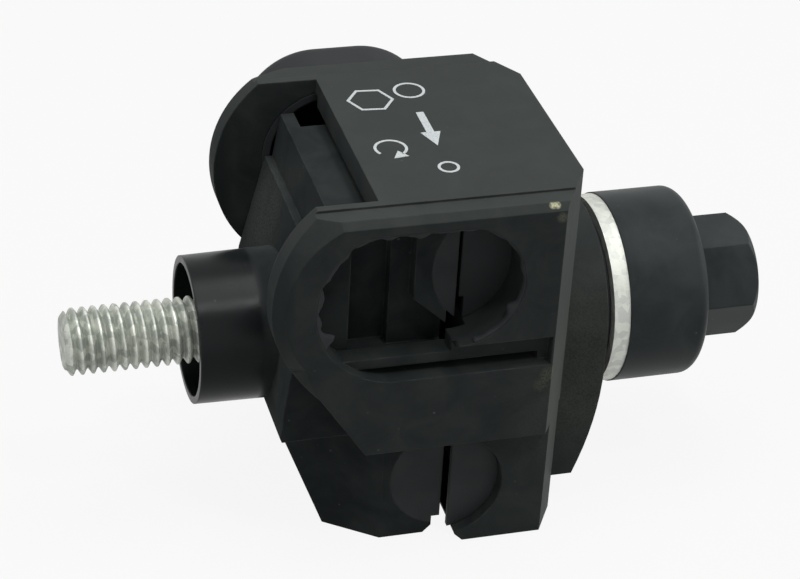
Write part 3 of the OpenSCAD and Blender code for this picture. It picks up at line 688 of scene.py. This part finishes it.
def torn_grid(sizes):
    """The rest of the front knock-out: a section carried along the mouth's edge.

    The rest's width is its mean, plus jags that are a sum of sines of the distance with fixed phases, plus a
    bell for the tab and one for the flap; it is calmer on the right and falls to nothing at both ends, where
    a pole closes the strip. The section goes from the wall along the outer face to the torn edge and back
    along the inner face, gets thinner towards that edge, and curls inwards there, most of all on the flap.
    """
    # Length in millimetres, phase and share of each wave of the jags.
    waves = ((5.3, 0.4, 0.4), (3.1, 0.6, 0.45), (1.9, 2.1, 0.2), (0.9, 4.0, 0.06), (0.43, 1.3, 0.03))
    # Distance of the tab from the left end and of the flap from the right end, with the spread of each.
    tab_place, tab_spread = 0.9 * MM, 0.75 * MM
    flap_place, flap_spread = 6.2 * MM, 0.8 * MM
    # Length of the fall at both ends, the least width before it, and how much calmer the right half is.
    fall, least, calming = 0.35 * MM, 0.12 * MM, 0.55
    # Depth, wave length and phase of the curl, and what the flap adds to its depth.
    curl, curl_wave, curl_phase, flap_curl = 0.1 * MM, 4.1 * MM, 0.9, 0.5 * MM
    path, normal, d = mouth_path(sizes, count=420)
    stop = d[-1]
    ripple = sum(share * np.sin(TURN * d / (size * MM) + phase) for size, phase, share in waves)
    tab = np.exp(-(((d - tab_place) / tab_spread) ** 2))
    flap = np.exp(-(((d - stop + flap_place) / flap_spread) ** 2))
    ends = np.clip(np.minimum(d, stop - d) / fall, 0, 1) ** 0.5
    calm = 1 - calming * np.clip((d - 0.5 * stop) / (0.1 * stop), 0, 1)
    width = (calm * (sizes.rest + sizes.jag * ripple) + sizes.tab * tab + sizes.flap * flap) * ends
    width = np.maximum(width, least * ends)
    # How far each point of the section lies from the wall to the torn edge, and on which face.
    across = np.array([0, 0.35, 0.7, 0.92, 1.0, 0.92, 0.7, 0.35, 0])
    side = np.array([1, 1, 1, 1, 0, -1, -1, -1, -1])
    thick = (sizes.lip + (sizes.skin - sizes.lip) * (1 - across) ** 0.7) * side
    bend = curl * (1 + np.sin(TURN * d / curl_wave + curl_phase)) + flap_curl * flap
    middle = MOUTH_LOW.y + sizes.skin / 2
    y = middle - thick[None, :] / 2 + bend[:, None] * across[None, :] ** 2
    flat = path[:, None, :] - normal[:, None, :] * (width[:, None] * across[None, :])[:, :, None]
    points = np.stack((flat[:, :, 0], y, flat[:, :, 1]), axis=-1)
    first, last = points[:1].mean(axis=1, keepdims=True), points[-1:].mean(axis=1, keepdims=True)
    points = np.concatenate((first + 0 * points[:1], points, last + 0 * points[-1:]))
    return points.reshape(-1, 3), ring_faces(len(points), len(across))


def stroke_grid(path, normal, half, levels, closed):
    """A printed line: a flat section carried along a path on the panel.

    Each point of the path gives four corners, half a width to each side along its normal, at the ink's lower
    and upper level; an open line starts and ends with a section of no width, which closes it.
    """
    low, high = levels
    half = np.broadcast_to(half, len(path))
    if not closed:
        path = np.concatenate((path[:1], path, path[-1:]))
        normal = np.concatenate((normal[:1], normal, normal[-1:]))
        half = np.concatenate(([0], half, [0]))
    reach = normal * half[:, None]
    sides = np.stack((path + reach, path + reach, path - reach, path - reach), axis=1)
    level = np.array([low, high, high, low])[None, :, None] + 0 * sides[:, :, :1]
    points = np.concatenate((sides, level), axis=-1).reshape(-1, 3)
    faces = tube_faces if closed else ring_faces
    return points, faces(len(path), 4)


def panel_marks(sizes):
    """The marks: a ring for each cable, an arrow between them, a drive hexagon and a turn arrow.

    Rings and arcs are a radius times the cosine and sine of an angle; an arrow is a line whose half width
    steps up at its head and falls evenly to its point.
    """
    sunk = 0.02 * MM
    levels = (SHELL_HIGH.z - sunk, SHELL_HIGH.z + sizes.proud)
    half = sizes.stroke / 2
    ring_points, arc_points = 96, 72
    a = TURN * np.arange(ring_points) / ring_points
    around = np.stack((np.cos(a), np.sin(a)), axis=-1)
    corner = TURN * np.arange(6) / 6 + sizes.tilt
    six = np.stack((np.cos(corner), np.sin(corner)), axis=-1)
    arc_start, arc_end = 215, -55
    swept = np.radians(np.linspace(arc_start, arc_end, arc_points))
    arc = np.stack((np.cos(swept), np.sin(swept)), axis=-1)
    main, branch = np.array(sizes.main_place), np.array(sizes.branch_place)
    drive, turn = np.array(sizes.hexagon_place), np.array(sizes.turn_place)
    # The straight arrow: where its head starts, and the half widths of its shaft and head.
    head_start, shaft, head = 0.6, 0.46 * MM, 1.2 * MM
    along = np.array([0, head_start, head_start, 1])[:, None]
    arrow = np.array(sizes.arrow_tail) * (1 - along) + np.array(sizes.arrow_tip) * along
    sideways = np.tile(np.array((1.0, 0.0)), (4, 1))
    # The turn arrow's head: its reach along the arc's last direction, in radii, and its half width.
    turn_reach, turn_head = (-0.06, 0.84), 0.85 * MM
    onward = arc[-1] + np.outer(turn_reach, (arc[-1, 1], -arc[-1, 0]))
    return [
        stroke_grid(main + sizes.main_ring * around, around, half, levels, True),
        stroke_grid(branch + sizes.branch_ring * around, around, half, levels, True),
        stroke_grid(drive + sizes.hexagon * six, six / math.cos(TURN / 12), half, levels, True),
        stroke_grid(arrow, sideways, np.array([shaft, shaft, head, 0]), levels, False),
        stroke_grid(turn + sizes.turn_mark * arc, arc, half, levels, False),
        stroke_grid(
            turn + sizes.turn_mark * onward, arc[[-1, -1]], np.array([turn_head, 0]), levels, False
        ),
    ]


class CLAMP_OT_stage(bpy.types.Operator):
    """Sets the floor, the light and the camera"""

    bl_idname = "clamp.stage"
    bl_label = "Stage"

    def execute(self, context):
        stage = context.scene.branch_clamp.stage
        context.scene.view_settings.view_transform = "Standard"
        self.light(context, stage)
        self.floor(context, stage)
        self.camera(context, stage)
        return {"FINISHED"}

    def light(self, context, stage):
        """An even sky, white where it is seen, and five soft lamps."""
        world = bpy.data.worlds.new("Even_sky")
        tree = cleared_tree(world)
        strength = add(
            tree, "ShaderNodeMapRange", {"Value": self.seen(tree), "To Min": stage.sky}
        ).outputs["Result"]
        sky = add(tree, "ShaderNodeBackground", {"Color": (1, 1, 1, 1), "Strength": strength})
        add(tree, "ShaderNodeOutputWorld", {"Surface": sky.outputs[0]})
        context.scene.world = world
        # Name, power, and the width and place in metres of each lamp.
        lamps = (
            ("Key_light", stage.key, 0.5, (0.02, 0.03, 0.75)),
            ("Fill_light", stage.fill, 0.36, (0.54, -0.10, 0.26)),
            ("Left_light", stage.left, 0.4, (-0.46, -0.04, 0.42)),
            ("Front_light", stage.front, 0.10, (0.10, -0.30, 0.67)),
            ("Wide_light", stage.wide, 0.8, (-0.10, -0.60, 0.20)),
        )
        for name, watts, width, place in lamps:
            self.lamp(context, name, watts, width, place)

    def lamp(self, context, name, watts, width, place):
        """A round soft light that faces the bolt's middle."""
        light = bpy.data.lights.new(name, "AREA")
        light.shape = "DISK"
        light.size = width
        light.energy = watts
        made = bpy.data.objects.new(name, light)
        made.location = place
        aim = Vector((0, 0, AXIS_Z)) - made.location
        made.rotation_euler = aim.to_track_quat("-Z", "Y").to_euler()
        context.scene.collection.objects.link(made)

    def seen(self, tree):
        """One for a ray from the camera, off gloss or through glass, and nothing for the others."""
        path = add(tree, "ShaderNodeLightPath")
        first = add(
            tree, "ShaderNodeMath",
            {0: path.outputs["Is Camera Ray"], 1: path.outputs["Is Glossy Ray"]}, operation="MAXIMUM",
        ).outputs[0]
        return add(
            tree, "ShaderNodeMath", {0: first, 1: path.outputs["Is Transmission Ray"]}, operation="MAXIMUM"
        ).outputs[0]

    def floor(self, context, stage):
        """A wide board under the clamp."""
        side = 3.0
        mesh = bpy.data.meshes.new("Floor")
        corners = ((-side, -side, 0), (side, -side, 0), (side, side, 0), (-side, side, 0))
        mesh.from_pydata(corners, [], [(0, 1, 2, 3)])
        # Matt white board: it takes the object's soft shadow and is otherwise lost in the white round it.
        board = bpy.data.materials.new("White_board_painted")
        tree = cleared_tree(board)
        share = add(
            tree, "ShaderNodeMath", {0: self.seen(tree), 1: stage.white}, operation="MULTIPLY"
        ).outputs[0]
        paint = add(tree, "ShaderNodeBsdfDiffuse", {"Color": opaque(stage.floor)})
        white = add(tree, "ShaderNodeEmission", {"Color": (1, 1, 1, 1), "Strength": 1.0})
        mixed = add(tree, "ShaderNodeMixShader", {0: share, 1: paint.outputs[0], 2: white.outputs[0]})
        add(tree, "ShaderNodeOutputMaterial", {"Surface": mixed.outputs[0]})
        mesh.materials.append(board)
        made = bpy.data.objects.new("Floor", mesh)
        context.scene.collection.objects.link(made)

    def camera(self, context, stage):
        """The camera, turned by its yaw, then its elevation, then its roll."""
        lens = bpy.data.cameras.new("Camera")
        lens.sensor_width = stage.sensor
        lens.lens = stage.lens
        lens.clip_start = 10 * MM
        ahead = Vector((math.sin(stage.yaw), math.cos(stage.yaw), 0))
        right = Vector((math.cos(stage.yaw), -math.sin(stage.yaw), 0))
        up = Vector((0, 0, 1))
        look = ahead * math.cos(stage.elevation) - up * math.sin(stage.elevation)
        rise = ahead * math.sin(stage.elevation) + up * math.cos(stage.elevation)
        x = right * math.cos(stage.roll) + rise * math.sin(stage.roll)
        y = rise * math.cos(stage.roll) - right * math.sin(stage.roll)
        made = bpy.data.objects.new("Camera", lens)
        made.matrix_world = Matrix.Translation(stage.place) @ Matrix((x, y, -look)).transposed().to_4x4()
        context.scene.collection.objects.link(made)
        context.scene.camera = made


class CLAMP_OT_housing(bpy.types.Operator):
    """Finishes the two moulded shells and the insulated head"""

    bl_idname = "clamp.housing"
    bl_label = "Housing"

    def execute(self, context):
        tones = context.scene.branch_clamp.colours
        # Painted glints: two pale spots on the front top corner and a faint line under it. Two faint scuffs by
        # the slit, and painted light on the boss.
        head_scuffs_and_painted_light = (
            ((1.3, -18.0, 46.8), 0.5, 0.9),
            ((1.8, -18.0, 46.75), 0.5, 0.9),
            ((2.4, -18.5, 45.4), 0.8, 0.12),
            ((2.6, -18.5, 24.4), 1.3, 0.07),
            ((1.8, -18.5, 23.0), 1.1, 0.05),
            ((9.5, -11.0, 20.0), 15, 0.03),
        )
        # Painted light: a broad pale patch on the nut's slope at the upper left.
        nut_painted_light = (((-25.0, 9.0, 33.0), 9, 0.3),)
        grained = moulded_nylon(
            "Glass_filled_nylon_spark_grained", tones.nylon, tones.nylon_worn_and_painted_light, rough=(0.6, 0.76),
            grain_depth=0.03 * MM, level=0.06, settled=0.2, scuff_and_light_colour=tones.nylon_scuff_and_glint, scuffs_and_painted_light=head_scuffs_and_painted_light,
        )
        smooth = moulded_nylon(
            "Glass_filled_nylon_moulded", tones.nylon_smooth, tones.nylon_worn_and_painted_light, rough=(0.25, 0.36),
            grain_depth=0.012 * MM, level=0.09, settled=0.05, matt=0.75, scuff_and_light_colour=tones.nylon_worn_and_painted_light,
            scuffs_and_painted_light=nut_painted_light,
        )
        cap = moulded_nylon(
            "Nylon_moulded", tones.nylon_cap, tones.nylon_worn_and_painted_light, rough=(0.38, 0.5), grain_depth=0.02 * MM,
            level=0.09, settled=0.06,
        )
        finish_nodes(grained, ("head_shell",))
        finish_nodes(smooth, ("nut_shell",))
        finish_nodes(cap, ("insulated_head",))
        return {"FINISHED"}


class CLAMP_OT_knockouts(bpy.types.Operator):
    """Makes the rest of the torn knock-out and finishes the whole one"""

    bl_idname = "clamp.knockouts"
    bl_label = "Knock-outs"

    def execute(self, context):
        settings = context.scene.branch_clamp
        soft = soft_black(
            "Elastomer_moulded", settings.colours.elastomer, grain_mm=0.25, rough=(0.55, 0.7), level=0.1
        )
        torn = make_piece(
            "torn_knockout", [torn_grid(settings.knockout)], soft, "head_half",
            crease=math.radians(50),
        )
        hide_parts("front_knockout")
        finish_nodes(soft, ("rear_knockout",))
        return {"FINISHED"}


class CLAMP_OT_bolt(bpy.types.Operator):
    """Makes the threaded bolt and finishes the washer and the captive nut"""

    bl_idname = "clamp.bolt"
    bl_label = "Bolt, nut and washer"

    def execute(self, context):
        settings = context.scene.branch_clamp
        tones = settings.colours
        zinc = galvanised_steel("Steel_hot_dip_galvanised", tones.zinc, tones.zinc_dull, deep=0.3)
        plate = galvanised_steel("Steel_plate_galvanised", tones.washer, tones.zinc, deep=0.0)
        parts = [thread_grid(settings.bolt, settings.columns), hexagon_grid(settings.bolt)]
        bolt = make_piece(
            "threaded_bolt", parts, zinc, "bolt", crease=math.radians(40)
        )
        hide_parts("clamping_bolt")
        finish_nodes(zinc, ("captive_nut",))
        finish_nodes(plate, ("flat_washer",))
        return {"FINISHED"}


class CLAMP_OT_seals(bpy.types.Operator):
    """Finishes the seals in the jaws and the ring under the washer"""

    bl_idname = "clamp.seals"
    bl_label = "Seals"

    def execute(self, context):
        tones = context.scene.branch_clamp.colours
        rubber = soft_black("Rubber_moulded", tones.rubber, grain_mm=0.3, rough=(0.6, 0.78), level=0.2)
        names = ("sealing_ring", "head_main_seal", "head_branch_seal", "nut_main_seal", "nut_branch_seal")
        finish_nodes(rubber, names)
        return {"FINISHED"}


class CLAMP_OT_contacts(bpy.types.Operator):
    """Finishes the toothed contact blades"""

    bl_idname = "clamp.contacts"
    bl_label = "Contact blades"

    def execute(self, context):
        tin = tinned_copper("Copper_stamped_and_tinned", context.scene.branch_clamp.colours.tin)
        names = ("head_blade_front", "head_blade_rear", "nut_blade_front", "nut_blade_rear")
        finish_nodes(tin, names)
        return {"FINISHED"}


class CLAMP_OT_marks(bpy.types.Operator):
    """Prints the marks on the top panel"""

    bl_idname = "clamp.marks"
    bl_label = "Printed marks"

    def execute(self, context):
        settings = context.scene.branch_clamp
        ink = stamped_ink("Ink_pad_printed", settings.colours.ink, settings.colours.nylon)
        make_piece("panel_marks", panel_marks(settings.marks), ink, "head_half")
        return {"FINISHED"}


STEPS = (
    CLAMP_OT_stage, CLAMP_OT_housing, CLAMP_OT_knockouts, CLAMP_OT_bolt, CLAMP_OT_seals,
    CLAMP_OT_contacts, CLAMP_OT_marks,
)


class CLAMP_PT_panel(bpy.types.Panel):
    """Lists the steps that dress the clamp"""

    bl_label = "Branch clamp"
    bl_idname = "CLAMP_PT_panel"
    bl_space_type = "VIEW_3D"
    bl_region_type = "UI"
    bl_category = "Branch clamp"

    def draw(self, context):
        for step in STEPS:
            self.layout.operator(step.bl_idname)


GROUPS = (
    ClampBoltSizes, ClampKnockoutSizes, ClampMarkSizes, ClampColours, ClampStageSettings, ClampSettings
)


def register():
    for item in GROUPS + STEPS + (CLAMP_PT_panel,):
        bpy.utils.register_class(item)
    bpy.types.Scene.branch_clamp = PointerProperty(type=ClampSettings)


def unregister():
    del bpy.types.Scene.branch_clamp
    for item in reversed(GROUPS + STEPS + (CLAMP_PT_panel,)):
        bpy.utils.unregister_class(item)


def main():
    register()
    bpy.ops.clamp.stage()
    bpy.ops.clamp.housing()
    bpy.ops.clamp.knockouts()
    bpy.ops.clamp.bolt()
    bpy.ops.clamp.seals()
    bpy.ops.clamp.contacts()
    bpy.ops.clamp.marks()
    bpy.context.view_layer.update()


if __name__ == "__main__":
    main()
